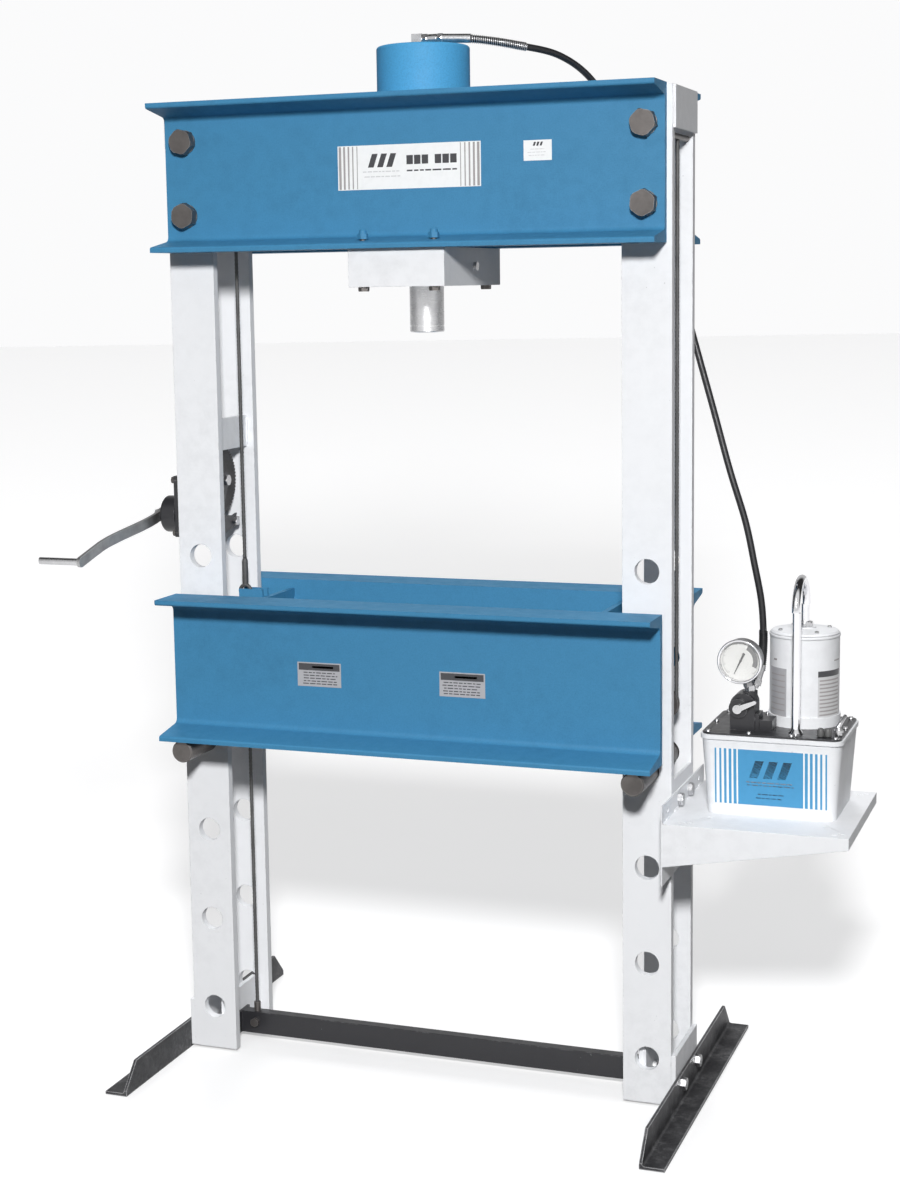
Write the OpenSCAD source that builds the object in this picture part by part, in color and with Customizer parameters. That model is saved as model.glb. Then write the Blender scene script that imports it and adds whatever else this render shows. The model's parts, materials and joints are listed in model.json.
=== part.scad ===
// H-frame hydraulic shop press with winch-lifted bed and electric pump unit.
// Millimetres. Origin on the floor midway between the uprights, +X right, -Y front, +Z up.

/* [Frame] */
// clear width between the two uprights
clear_w = 889; // [860:1:920]
// overall depth of one upright, front bar face to rear bar face
col_d = 194; // [194:0.5:198]
// width of one upright bar
bar_w = 101.6; // [100:0.1:104]
// thickness of one upright bar
bar_t = 19; // [18:0.5:19.5]
// height of the top of the head above the floor
head_top = 2069; // [2069:1:2120]
// length of the head and of the bed
beam_l = 1076; // [1060:1:1084]

/* [Channels] */
// depth of the head and bed channels
chan_d = 304.8; // [304:0.1:306]
// flange width of the channels
chan_b = 98.8; // [96:0.1:102]
// web thickness of the channels
chan_t = 15; // [13:0.5:17]
// gap between an upright and a bed channel web
bed_gap = 34; // [30:1:36]

/* [Pins] */
// pitch of the height holes
hole_p = 203.2; // [200:0.1:204]
// radius of the height holes
hole_r = 25.4; // [25.2:0.1:26]
// radius of a bed pin
pin_r = 23.8; // [22.5:0.1:24]
// length of a bed pin
pin_l = 430; // [420:1:450]

/* [Cylinder and ram] */
// outside radius of the cylinder barrel
barrel_r = 96; // [94:0.5:96]
// bore radius of the barrel
bore_r = 65; // [60:0.5:70]
// ram radius
ram_r = 35.9; // [34:0.1:36]
// height of the ram nose above the floor, retracted
ram_z = 1592; // [1585:1:1600]

/* [Hoist] */
// module of the winch gears
gear_m = 2.5; // [2.5:0.1:2.5]
// radius at which the hoist rope winds on the drum
drum_rope_r = 28; // [28:1:28]
// hoist rope radius
rope_r = 4; // [2:0.5:4]

/* [Part shown] */

/* [Hidden] */
fn = 64;
xi = clear_w / 2;
xo = xi + bar_w;
xc = (xi + xo) / 2;
yf = col_d / 2;
yg = yf - bar_t;
post_z0 = 5;
post_z1 = head_top - 3;
hole_z0 = 100.3;
head_z = head_top - chan_d;
pin_z = hole_z0 + 3 * hole_p - (hole_r - pin_r) + 0.05;
bed_z = pin_z + pin_r + 0.05;
bed_y = yf + bed_gap;
tip_t = 10.8;
slope = 1 / 6;
fillet_r = 12;
toe_r = 5;
hb_z = [head_top - 76.2, head_top - 228.6];
winch_bolt_z = [1164, 1279];
gear_y = 0;
gear_z = 1272;
shaft_y = -56;
shaft_z = gear_z - sqrt(90 * 90 - 56 * 56);
rope_x = 437;
groove_r = rope_r + 0.9;
rope_lay = 0.25;
rope_up_x = 515;
sheave_z = 1916;
level_x = 533;
mid_tie_x = 466;
block_y = 160;
beam_dx = -3;
level_top = 1972;
shelf_z = 626;
pump_x = 742;
pump_y = 28;
motor_x = 783;
motor_y = 68;
tank_z1 = 790;
foot_x = 556;
foot_l = 800;
white = [0.86, 0.87, 0.88];
blue = [0.22, 0.50, 0.67];
black = [0.10, 0.10, 0.11];
steel = [0.62, 0.62, 0.63];
dark = [0.24, 0.23, 0.23];

function dir(a) = [cos(a), sin(a)];
module cyl_y(r, y0, y1, x = 0, z = 0) {
  translate([x, y0, z]) rotate([-90, 0, 0]) cylinder(h = y1 - y0, r = r, $fn = fn);
}
module cyl_x(r, x0, x1, y = 0, z = 0) {
  translate([x0, y, z]) rotate([0, 90, 0]) cylinder(h = x1 - x0, r = r, $fn = fn);
}
module cyl_z(r, z0, z1, x = 0, y = 0) {
  translate([x, y, z0]) cylinder(h = z1 - z0, r = r, $fn = fn);
}
module slab(x0, x1, y0, y1, z0, z1) {
  translate([x0, y0, z0]) cube([x1 - x0, y1 - y0, z1 - z0]);
}
module hex_head(af, h) {
  intersection() {
    rotate([0, 0, 30]) cylinder(h = h, r = af / sqrt(3), $fn = 6);
    union() {
      cylinder(h = h * 0.7, r = af, $fn = fn);
      translate([0, 0, h * 0.7]) cylinder(h = h * 0.3, r1 = af * 0.577, r2 = af * 0.525, $fn = fn);
    }
  }
}
module bolt(af, h, r, l) {
  hex_head(af, h);
  translate([0, 0, -l]) cylinder(h = l + 0.5, r = r, $fn = fn);
}
module nut(af, h, r) {
  difference() {
    hex_head(af, h);
    translate([0, 0, -1]) cylinder(h = h + 2, r = r, $fn = fn);
  }
}
// closed nut over the end of a bolt
module cap_nut(af, h, r) {
  difference() {
    union() {
      hex_head(af, h);
      translate([0, 0, h - 0.5]) cylinder(h = 6, r = r + 1.2, $fn = fn);
      translate([0, 0, h + 5.4]) cylinder(h = 3, r1 = r + 1.2, r2 = r - 1.4, $fn = fn);
    }
    translate([0, 0, -1]) cylinder(h = h + 6, r = r, $fn = fn);
  }
}
module round_box(x, y, h, r) {
  union() {
    translate([-x / 2 + r, -y / 2, 0]) cube([x - 2 * r, y, h]);
    translate([-x / 2, -y / 2 + r, 0]) cube([x, y - 2 * r, h]);
    for (i = [-1, 1]) for (j = [-1, 1])
      translate([i * (x / 2 - r), j * (y / 2 - r), 0]) cylinder(h = h, r = r, $fn = 48);
  }
}

// rolled channel: web back at y = 0, flanges towards +y, height along z, extruded along x
module channel_2d() {
  a = atan(slope);
  root = tip_t + (chan_b - chan_t) * slope;
  fillet_z = root + fillet_r * (1 - sin(a)) / cos(a);
  toe_z = root - (toe_r + (chan_b - toe_r - chan_t) * sin(a)) / cos(a);
  toe = [for (i = [0:6]) [chan_b - toe_r, toe_z] + toe_r * dir(i / 6 * (90 - a))];
  fillet = [for (i = [0:8]) [chan_t + fillet_r, fillet_z] + fillet_r * dir(270 - a - i / 8 * (90 - a))];
  half = concat([[0, 0], [chan_b, 0]], toe, fillet);
  n = len(half);
  polygon(concat(half, [for (i = [n - 1:-1:0]) [half[i][0], chan_d - half[i][1]]]));
}
module channel(l) {
  translate([beam_dx - l / 2, 0, 0]) rotate([90, 0, 90]) linear_extrude(height = l) channel_2d();
}

function inv_a(x) = tan(x) * 180 / PI - x;
module gear_2d(n, m, thick) {
  rp = n * m / 2;
  rb = rp * cos(20);
  ra = rp + 0.8 * m;
  rr = rp - 1.15 * m;
  th = 180 / n * thick;
  r0 = max(rb, rr) + 0.01;
  steps = 4;
  polygon([for (i = [0:n - 1]) let (c = i * 360 / n)
    for (k = [0:2 * steps + 3])
      let (
        side = k <= steps + 1 ? -1 : 1,
        j = k <= steps + 1 ? k - 1 : 2 * steps + 2 - k,
        r = j < 0 ? rr : r0 + (ra - r0) * j / steps,
        rq = max(r, rb + 0.005),
        o = th + inv_a(20) - inv_a(acos(rb / rq))
      ) [r * cos(c + side * o), r * sin(c + side * o)]]);
}

// rounded tube along a smooth path through the given points
function cr(p0, p1, p2, p3, t) = 0.5 * (2 * p1 + (p2 - p0) * t + (2 * p0 - 5 * p1 + 4 * p2 - p3) * t * t
  + (3 * p1 - p0 - 3 * p2 + p3) * t * t * t);
function path(p, s) = concat([for (i = [0:len(p) - 2]) for (k = [0:s - 1])
  cr(p[max(i - 1, 0)], p[i], p[i + 1], p[min(i + 2, len(p) - 1)], k / s)], [p[len(p) - 1]]);
function unit(v) = v / norm(v);
module sweep(q, r, n) {
  ref = [1, 1, 1];
  m = len(q);
  pts = [for (i = [0:m - 1])
    let (d = unit(q[min(i + 1, m - 1)] - q[max(i - 1, 0)]), u = unit(cross(d, ref)), w = cross(d, u))
    for (k = [0:n - 1]) q[i] + r * cos(k * 360 / n) * u + r * sin(k * 360 / n) * w];
  polyhedron(points = pts, faces = concat(
    [[for (k = [0:n - 1]) n - 1 - k]],
    [for (i = [0:m - 2]) for (k = [0:n - 1])
      [i * n + k, i * n + (k + 1) % n, (i + 1) * n + (k + 1) % n, (i + 1) * n + k]],
    [[for (k = [0:n - 1]) (m - 1) * n + k]]));
}

// ---- uprights
module post_bar(x0, y0) {
  difference() {
    slab(x0, x0 + bar_w, y0, y0 + bar_t, post_z0, post_z1);
    for (k = [0:5]) cyl_y(hole_r, y0 - 1, y0 + bar_t + 1, x0 + bar_w / 2, hole_z0 + k * hole_p);
    for (z = hb_z) cyl_y(12.8, y0 - 1, y0 + bar_t + 1, x0 + bar_w / 2, z);
    if (x0 < 0) for (z = winch_bolt_z) cyl_x(4.55, x0 - 1, x0 + 22, y0 + bar_t / 2, z);
  }
}
module left_post_front() { color(white) post_bar(-xo, -yf); }
module left_post_rear() { color(white) post_bar(-xo, yg); }
module right_post_front() { color(white) post_bar(xi, -yf); }
module right_post_rear() { color(white) post_bar(xi, yg); }
module tie_plates() {
  color(white) {
    for (s = [-1, 1]) {
      x = s * (xi + 36.5);
      slab(s * mid_tie_x - 5, s * mid_tie_x + 5, -yg, yg, 1341, 1410);
      difference() {
        slab(x - 5, x + 5, -yg, yg, 8, 117);
        for (z = [26, 50]) cyl_x(6.6, x - 6, x + 6, 0, z);
      }
      slab(s > 0 ? xo : -xo - 6, s > 0 ? xo + 6 : -xo, -yf + 4, yf - 4, head_top - 86, head_top - 4);
      difference() {
        slab(s > 0 ? xo : -xo - 9.9, s > 0 ? xo + 9.9 : -xo, -yf, yf, 5, 112);
        for (y = [-66, 66]) cyl_x(8.6, s * (xo + 5) - 6, s * (xo + 5) + 6, y, 43);
      }
    }
    difference() {
      slab(xo - 6, xo, -yg, yg, 600, 690);
      for (y = [-44, 44]) cyl_x(8.6, xo - 7, xo + 1, y, 642);
    }
  }
}

// ---- head
module head_holes() {
  for (s = [-1, 1]) for (z = hb_z) cyl_y(12.8, -1, chan_t + 12, s * xc, z - head_z);
  for (x = [-76.2, 76.2]) cyl_z(6.7, -1, 40, x, block_y - yf);
}
module head_half() {
  difference() {
    channel(beam_l);
    head_holes();
  }
}
module head_channel_front() {
  color(blue) translate([0, -yf, head_z]) mirror([0, 1, 0]) head_half();
}
module head_channel_rear() {
  color(blue) translate([0, yf, head_z]) head_half();
}
module head_bolts() {
  color(dark) for (s = [-1, 1]) for (i = [0, 1])
    translate([s * xc, -yf - chan_t - 4, hb_z[i]]) rotate([90, 0, 0]) rotate([0, 0, 15 - 20 * i]) {
      bolt(48, 20, 12.7, 2 * yf + 2 * chan_t + 36);
      translate([0, 0, -3.95]) cylinder(h = 4, r = 25, $fn = fn);
    }
}
module head_nuts() {
  color(dark) for (s = [-1, 1]) for (z = hb_z)
    translate([s * xc, yf + chan_t, z]) rotate([-90, 0, 0]) {
      difference() {
        cylinder(h = 4, r = 25, $fn = fn);
        translate([0, 0, -1]) cylinder(h = 6, r = 12.75, $fn = fn);
      }
      translate([0, 0, 4]) nut(48, 22, 12.75);
    }
}

// ---- cylinder and ram
barrel_z1 = head_top + 104;
bore_z1 = barrel_z1 - 33;
module cylinder_barrel() {
  color([0.30, 0.62, 0.82]) difference() {
    translate([0, 0, head_z + 0.2]) rotate_extrude($fn = fn) difference() {
      union() {
        square([barrel_r - 6, barrel_z1 - head_z - 0.2]);
        square([barrel_r, barrel_z1 - head_z - 6.2]);
        translate([barrel_r - 6, barrel_z1 - head_z - 6.2]) circle(r = 6, $fn = 48);
      }
    }
    cyl_z(bore_r, head_z - 1, bore_z1);
    cyl_z(9.05, bore_z1 - 1, barrel_z1 + 1, -12, 0);
  }
}
module cylinder_gland() {
  color(steel) difference() {
    cyl_z(bore_r - 0.02, head_z + 0.2, head_z + 34);
    cyl_z(ram_r + 0.05, head_z - 1, head_z + 36);
  }
}
module cylinder_block() {
  color(white) difference() {
    slab(-103, 103, -176, 176, head_z - 77, head_z);
    cyl_z(ram_r + 0.06, head_z - 78, head_z + 1);
    for (x = [-76.2, 76.2]) for (y = [-block_y, block_y]) cyl_z(6.6, head_z - 78, head_z + 1, x, y);
    cyl_x(6.05, 60, 104, 6, head_z - 38);
  }
}
module block_bolts() {
  color(dark) {
    for (x = [-76.2, 76.2]) for (y = [-block_y, block_y])
      translate([x, y, head_z - 77]) mirror([0, 0, 1]) bolt(20, 9, 6.5, 77 + 20);
    for (s = [-1, 1]) for (z = winch_bolt_z)
      translate([-xo - 12, s * (yf - bar_t / 2), z]) rotate([0, -90, 0]) bolt(14, 5, 4.5, 30);
  }
}
module block_nuts() {
  color(blue) for (x = [-76.2, 76.2]) for (s = [-1, 1]) {
    z = head_z + tip_t + (yf + chan_b - block_y) * slope + 1.9;
    translate([x, s * block_y, z]) cap_nut(20, 11, 6.55);
  }
}
module return_spring() {
  color(steel) for (i = [0:8]) translate([0, 0, head_z + 34 + 7 + i * 31.5])
    rotate_extrude($fn = fn) translate([ram_r + 15, 0]) circle(r = 6, $fn = 24);
}
piston_z0 = head_z + 34 + 276;
module ram_rod() {
  color(steel) difference() {
    union() {
      cyl_z(ram_r, ram_z + 2, piston_z0);
      translate([0, 0, ram_z]) cylinder(h = 2, r1 = ram_r - 2, r2 = ram_r, $fn = fn);
    }
    difference() {
      cyl_z(ram_r + 1, ram_z + 12, ram_z + 14);
      cyl_z(ram_r - 1, ram_z + 11, ram_z + 15);
    }
  }
}
module ram_piston() {
  color(steel) difference() {
    cyl_z(bore_r - 0.05, piston_z0, piston_z0 + 46);
    for (z = [12, 30]) difference() {
      cyl_z(bore_r + 1, piston_z0 + z, piston_z0 + z + 5);
      cyl_z(bore_r - 4, piston_z0 + z - 1, piston_z0 + z + 6);
    }
  }
}

// ---- feet and stretcher
module foot_shape() {
  difference() {
    union() {
      slab(0, 6.4, -foot_l / 2, foot_l / 2, 0, 63.5);
      slab(0, 50.8, -foot_l / 2, foot_l / 2, 0, 6.4);
      difference() {
        slab(6, 11.4, -foot_l / 2, foot_l / 2, 6, 11.4);
        cyl_y(5, -foot_l / 2 - 1, foot_l / 2 + 1, 11.4, 11.4);
      }
    }
    for (s = [-1, 1]) translate([-1, s * foot_l / 2, 6.4]) rotate([90, 0, 90])
      linear_extrude(height = 8.4)
        polygon([[0, 5.1], [-s * 48, 57.2], [-s * 48, 60], [s * 5, 60], [s * 5, 5.1]]);
    for (y = [-66, 66]) cyl_x(8.6, -1, 8, y, 43);
  }
}
module foot_right() { color(black) translate([foot_x, 0, 0]) foot_shape(); }
module foot_left() { color(black) translate([-foot_x, 0, 0]) mirror([1, 0, 0]) foot_shape(); }
str_x = xi + 31.4;
module stretcher() {
  color(black) difference() {
    union() {
      difference() {
        slab(-str_x + 6, str_x - 6, -12.7, 12.7, 13, 63.8);
        slab(-str_x + 5, str_x - 5, -9.7, 9.7, 16, 60.8);
      }
      for (s = [-1, 1]) slab(s * (str_x - 3) - 3, s * (str_x - 3) + 3, -28, 28, 13, 63.8);
    }
    for (s = [-1, 1]) {
      for (z = [26, 50]) cyl_x(6.6, s * str_x - 8, s * str_x + 8, 0, z);
    }
    cyl_y(6.1, -14, 14, -rope_x, 40);
  }
}
module frame_bolts() {
  color(steel) {
    for (s = [-1, 1]) for (y = [-66, 66])
      translate([s * (foot_x + 6.4), y, 43]) rotate([0, s * 90, 0]) bolt(24, 10, 8, 30);
    for (y = [-44, 44]) translate([xo + 3, y, 642]) rotate([0, 90, 0]) bolt(24, 10, 8, 24);
    translate([103, 6, head_z - 38]) rotate([0, 90, 0]) {
      cylinder(h = 8, r = 9, $fn = fn);
      translate([0, 0, -30]) cylinder(h = 30.5, r = 6, $fn = fn);
    }
    for (s = [-1, 1]) for (z = [26, 50])
      translate([s * (xi + 41.5), 0, z]) rotate([0, s * 90, 0]) bolt(17, 7, 6.5, 18);
  }
}

// ---- shelf and pump
module shelf() {
  color(white) difference() {
    union() {
      slab(xo, xo + 3, -188, 188, 498, 662);
      slab(xo + 2.9, 915, -188, 188, shelf_z - 3, shelf_z);
      slab(912, 915, -188, 188, shelf_z - 23, shelf_z - 2.9);
      for (y = [-188, 185]) translate([xo + 2.9, y + 3, 0]) rotate([90, 0, 0]) linear_extrude(height = 3)
        polygon([[0, 538], [0, shelf_z], [915 - xo - 2.9, shelf_z], [915 - xo - 2.9, shelf_z - 23]]);
    }
    for (y = [-44, 44]) cyl_x(8.6, xo - 1, xo + 4, y, 642);
    for (y = [-138, 138]) cyl_x(5, xo - 1, xo + 4, y, 642);
    for (x = [584, 884]) for (y = [-168, 160]) for (d = [0, 1]) {
      cx = x + d * 13;
      cy = y + d * 10;
      slab(cx - 6, cx + 6, cy - 2.5, cy + 2.5, shelf_z - 4, shelf_z + 1);
    }
    for (x = [627, 857]) cyl_z(4.2, shelf_z - 4, shelf_z + 1, x, -108);
  }
}
module drafted(x0, y0, x1, y1, r, z0, z1) {
  hull() {
    for (i = [-1, 1]) for (j = [-1, 1]) {
      translate([i * (x0 / 2 - r), j * (y0 / 2 - r), z0]) cylinder(h = 0.1, r = r, $fn = 32);
      translate([i * (x1 / 2 - r), j * (y1 / 2 - r), z1 - 0.1]) cylinder(h = 0.1, r = r, $fn = 32);
    }
  }
}
module pump_tank() {
  color(white) translate([pump_x, pump_y, 0]) difference() {
    union() {
      drafted(258, 204, 280, 224, 20, shelf_z, tank_z1 - 8);
      translate([0, 0, tank_z1 - 9]) round_box(286, 230, 9, 22);
    }
    drafted(248, 194, 270, 214, 16, shelf_z + 5, tank_z1 - 7);
    translate([0, 0, tank_z1 - 12]) round_box(244, 188, 14, 12);
    for (p = cover_pts) cyl_z(2.55, tank_z1 - 6, tank_z1 + 1, p[0], p[1]);
  }
}
module pump_cover() {
  color(black) translate([pump_x, pump_y, 0]) difference() {
    translate([0, 0, tank_z1]) round_box(278, 222, 4, 18);
    for (p = cover_pts) cyl_z(2.6, tank_z1 - 1, tank_z1 + 5, p[0], p[1]);
  }
}
cover_pts = [[-127, -99], [-45, -99], [40, -99], [127, -99], [-131, 0], [131, 0],
  [-127, 99], [-45, 99], [40, 99], [127, 99]];
module cover_screws() {
  color(steel) translate([pump_x, pump_y, tank_z1 + 4]) for (p = cover_pts) translate([p[0], p[1], 0]) {
    difference() {
      cylinder(h = 3.5, r1 = 5, r2 = 4.2, $fn = fn);
      translate([-0.7, -6, 2.2]) cube([1.4, 12, 2]);
    }
    translate([0, 0, -9]) cylinder(h = 9.2, r = 2.5, $fn = fn);
  }
}
mz = tank_z1 + 4;
boss_h = 198;
module motor_shell() {
  color(white) translate([motor_x, motor_y, mz]) difference() {
    union() {
      cylinder(h = 22, r = 73, $fn = fn);
      cylinder(h = 187, r = 70, $fn = fn);
      translate([0, 0, 187]) cylinder(h = 5, r1 = 70, r2 = 66, $fn = fn);
      translate([0, 0, 192]) cylinder(h = 4, r1 = 64, r2 = 30, $fn = fn);
      cylinder(h = boss_h, r = 22, $fn = fn);
    }
    translate([0, 0, -1]) cylinder(h = 180, r = 65, $fn = fn);
    difference() {
      translate([0, 0, 186]) cylinder(h = 1.4, r = 72, $fn = fn);
      translate([0, 0, 185]) cylinder(h = 3.4, r = 69, $fn = fn);
    }
    translate([0, 0, 150]) cylinder(h = 50, r = 8.6, $fn = fn);
  }
}
h_x = 787;
h_y0 = -50;
h_y1 = motor_y;
h_r = (h_y1 - h_y0) / 2;
h_z = 1097 - h_r;
module carry_handle() {
  color(steel) {
    cyl_z(8.5, mz + 1, h_z + 0.1, h_x, h_y0);
    cyl_z(14, mz, mz + 3, h_x, h_y0);
    translate([h_x, h_y0, mz + 3]) cylinder(h = 8, r1 = 14, r2 = 8.5, $fn = fn);
    cyl_z(8.5, mz + 160, h_z + 0.1, motor_x, h_y1);
    translate([(h_x + motor_x) / 2, (h_y0 + h_y1) / 2, h_z]) rotate([90, 0, 90])
      rotate_extrude(angle = 180, $fn = fn) translate([h_r, 0]) circle(r = 8.5, $fn = 32);
  }
}
module handle_nuts() {
  color(steel) translate([motor_x, motor_y, mz + boss_h]) {
    difference() {
      hex_head(30, 10);
      translate([0, 0, -1]) cylinder(h = 20, r = 8.55, $fn = fn);
    }
  }
}
valve_z = mz + 56;
valve_x = 672;
module valve_block() {
  color(black) difference() {
    union() {
      slab(654, 704, -48, 2, mz, mz + 52);
      cyl_y(25, -48, 2, 679, mz + 51);
      cyl_z(15, mz + 60, mz + 78, 690, -24);
      cyl_y(19, -56, -47, valve_x, valve_z - 10);
      slab(703, 712, -44, -2, mz, mz + 34);
      slab(706, 738, -40, 6, mz, mz + 22);
    }
    cyl_y(6.05, -60, -30, valve_x, valve_z - 10);
    cyl_z(7.05, mz + 60, mz + 80, 690, -24);
  }
}
module valve_lever() {
  color(steel) translate([valve_x, -56.2, valve_z - 10]) {
    cyl_y(6, 0, 24);
    rotate([0, -24, 0]) {
      cyl_y(9, -10, 0);
      translate([0, -4, 0]) rotate([90, 0, 0]) linear_extrude(height = 6)
        polygon([[0, -6], [38, -3.4], [38, 3.4], [0, 6]]);
      cyl_y(3.4, -10, -4, 38, 0);
    }
  }
}
g_x = 676;
g_y = -32;
g_z = 937;
needle_a = 245;
module gauge_case() {
  color(dark) translate([g_x, g_y, g_z]) {
    difference() {
      union() {
        cyl_y(42.5, -28, 2);
        cyl_y(44, -30, -22);
        cyl_y(30, 1, 6);
      }
      cyl_y(40.5, -31, -18);
      cyl_y(1.6, -19, -10);
    }
    translate([0, -14, 0]) rotate([0, 164, 0]) {
      translate([0, 0, 41]) cylinder(h = 14, r = 7, $fn = fn);
      translate([0, 0, 47]) hex_head(17, 8);
    }
  }
}
module gauge_dial() {
  color([0.93, 0.93, 0.92]) translate([g_x, g_y, g_z]) difference() {
    cyl_y(40.3, -19.6, -18.02);
    cyl_y(1.65, -21, -15);
  }
}
module gauge_needle() {
  color([0.08, 0.08, 0.08]) translate([g_x, g_y, g_z]) {
    cyl_y(1.5, -20.5, -12);
    cyl_y(2.6, -22.0, -20.4);
    rotate([0, -needle_a, 0]) translate([0, -20.9, 0]) rotate([90, 0, 0]) linear_extrude(height = 0.8)
      polygon([[-17, -2.6], [-17, 2.6], [31, 0.5], [31, -0.5]]);
  }
}
hose_pts = [[38, 4, 2188], [70, 6, 2187], [116, 14, 2183], [180, 56, 2173], [250, 138, 2156],
  [300, 215, 2108], [352, 248, 2010], [412, 254, 1880], [470, 246, 1710], [521, 231, 1544], [560, 216, 1420], [599, 200, 1294],
  [640, 165, 1190], [667, 128, 1105], [688, 92, 1040], [700, 56, 985], [706, 22, 940], [706, 4, 908]];
module pressure_hose() {
  color([0.09, 0.09, 0.10]) sweep(path(hose_pts, 4), 7, 16);
}
module hose_fittings() {
  color(steel) {
    cyl_z(9, bore_z1 + 8, barrel_z1 + 8, -12, 0);
    translate([-12, 0, barrel_z1]) hex_head(26, 8);
    translate([-12, 0, barrel_z1 + 15]) {
      translate([-10, -10, -8]) cube([22, 20, 19]);
      translate([11, 0, 0]) rotate([0, 90, 0]) cylinder(h = 40, r = 7.6, $fn = fn);
      translate([15, 0, 0]) rotate([0, 90, 0]) hex_head(20, 8);
      translate([26, 0, 0]) rotate([0, 90, 0]) cylinder(h = 17, r = 9.6, $fn = fn);
      translate([46, 0, 0]) rotate([0, 90, 0]) hex_head(19, 10);
      translate([52, 1.2, 0]) rotate([0, 2.4, 6.3]) rotate([0, 90, 0]) cylinder(h = 62, r = 9.2, $fn = fn);
    }
    translate([690, -24, mz + 62]) {
      cylinder(h = 17, r = 7, $fn = fn);
      translate([0, 0, 16.1]) hex_head(20, 12);
    }
    translate([697, -12, mz + 86]) rotate([-20, 14, 0]) {
      translate([0, 0, -4]) cylinder(h = 15, r = 8.2, $fn = fn);
      translate([0, 0, 2]) hex_head(21, 12);
      translate([0, 0, 10]) cylinder(h = 34, r = 9.4, $fn = fn);
    }
  }
}

// ---- winch
module winch_base() {
  color(black) difference() {
    slab(-xo - 12, -xo, -92, 92, 1155, 1288);
    cyl_x(10.06, -xo - 13, -xo + 1, shaft_y, shaft_z);
    cyl_x(10, -xo - 13, -xo + 1, gear_y, gear_z);
    for (p = tie_pts) cyl_x(6, -xo - 13, -xo + 1, p[0], p[1]);
    for (s = [-1, 1]) for (z = winch_bolt_z) cyl_x(4.55, -xo - 13, -xo + 1, s * (yf - bar_t / 2), z);
  }
}
tie_pts = [[44, 1177], [-62, 1166]];
module winch_housing() {
  color(black) translate([-xo - 12, shaft_y, shaft_z]) rotate([0, -90, 0]) difference() {
    rotate_extrude($fn = fn) union() {
      square([38, 5]);
      square([40, 30]);
      square([34, 36]);
      translate([34, 30]) circle(r = 6, $fn = 32);
    }
    translate([0, 0, -1]) cylinder(h = 50, r = 10.06, $fn = fn);
  }
}
module winch_side_plate() {
  color(black) difference() {
    union() {
      cyl_x(19, -484, -479, gear_y, gear_z);
      cyl_x(19, -484, -479, shaft_y, shaft_z);
      translate([-484, 0, 0]) rotate([90, 0, 90]) linear_extrude(height = 5) polygon([
        [gear_y + 19, gear_z - 2], [gear_y - 17, gear_z + 8], [shaft_y - 18, shaft_z + 6],
        [shaft_y - 19, 1158], [-30, 1154], [30, 1162], [62, 1172], [66, 1184], [52, 1186], [54, 1194], [38, 1190], [-16, 1196]]);
    }
    cyl_x(10.06, -485, -478, shaft_y, shaft_z);
    cyl_x(8, -485, -478, gear_y, gear_z);
    for (p = tie_pts) cyl_x(4, -485, -478, p[0], p[1]);
  }
}
module winch_axle() {
  color(steel) {
    cyl_x(9.95, -xo - 11, -484, gear_y, gear_z);
    cyl_x(8, -485, -478.5, gear_y, gear_z);
    translate([-479, gear_y, gear_z]) rotate([0, 90, 0]) hex_head(22, 9);
    for (p = tie_pts) {
      cyl_x(6, -xo - 11, -484, p[0], p[1]);
      cyl_x(4, -485, -478.5, p[0], p[1]);
      translate([-479, p[0], p[1]]) rotate([0, 90, 0]) hex_head(16, 7);
    }
  }
}
pinion_a = atan2(shaft_z - gear_z, shaft_y - gear_y);
module crank_shaft() {
  color(steel) {
    cyl_x(10, -616, -479.5, shaft_y, shaft_z);
    translate([-504, shaft_y, shaft_z]) rotate([90, 0, 90]) rotate([0, 0, pinion_a + 180 + 180 / 14])
      linear_extrude(height = 17) gear_2d(14, gear_m, 0.46);
    translate([-614, shaft_y, shaft_z]) rotate([0, -90, 0]) hex_head(17, 8);
  }
}
arm_l = 292;
arm_a = 14.2;
function ease(t) = t <= 0 ? 0 : t >= 1 ? 1 : t * t * (3 - 2 * t);
function arm_c(t) = 44 * ease((t - 0.06) / 0.66);
arm_n = 26;
module crank_arm() {
  color(steel) translate([-604, shaft_y, shaft_z]) rotate([arm_a, 0, 0]) difference() {
    union() {
      translate([0, 0, -11]) linear_extrude(height = 22) polygon(concat(
        [for (i = [0:arm_n]) [-arm_c(i / arm_n), -arm_l * i / arm_n]],
        [for (i = [arm_n:-1:0]) [-arm_c(i / arm_n) - 7, -arm_l * i / arm_n]]));
      cyl_x(13, -7, 0);
      cyl_x(11, -51, -44, -arm_l, 0);
      cyl_x(4, -145, -50, -arm_l, 0);
    }
    cyl_x(10.05, -8, 2);
  }
}
module crank_grip() {
  color(dark) translate([-604, shaft_y, shaft_z]) rotate([arm_a, 0, 0]) difference() {
    cyl_x(7.5, -143.5, -52, -arm_l, 0);
    cyl_x(4.06, -145, -51, -arm_l, 0);
  }
}
module drum_gear() {
  color(dark) difference() {
    union() {
      translate([-501, gear_y, gear_z]) rotate([90, 0, 90]) rotate([0, 0, pinion_a])
        linear_extrude(height = 12) gear_2d(58, gear_m, 0.46);
      cyl_x(23.9, -540, -500, gear_y, gear_z);
      cyl_x(40, -543, -539, gear_y, gear_z);
    }
    cyl_x(10, -544, -488, gear_y, gear_z);
  }
}
module rope_coils() {
  color(steel) for (i = [0:3]) translate([-533 + i * 8.2, gear_y, gear_z]) rotate([0, 90, 0])
    rotate_extrude($fn = fn) translate([drum_rope_r, 0]) circle(r = rope_r, $fn = 24);
}
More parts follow.
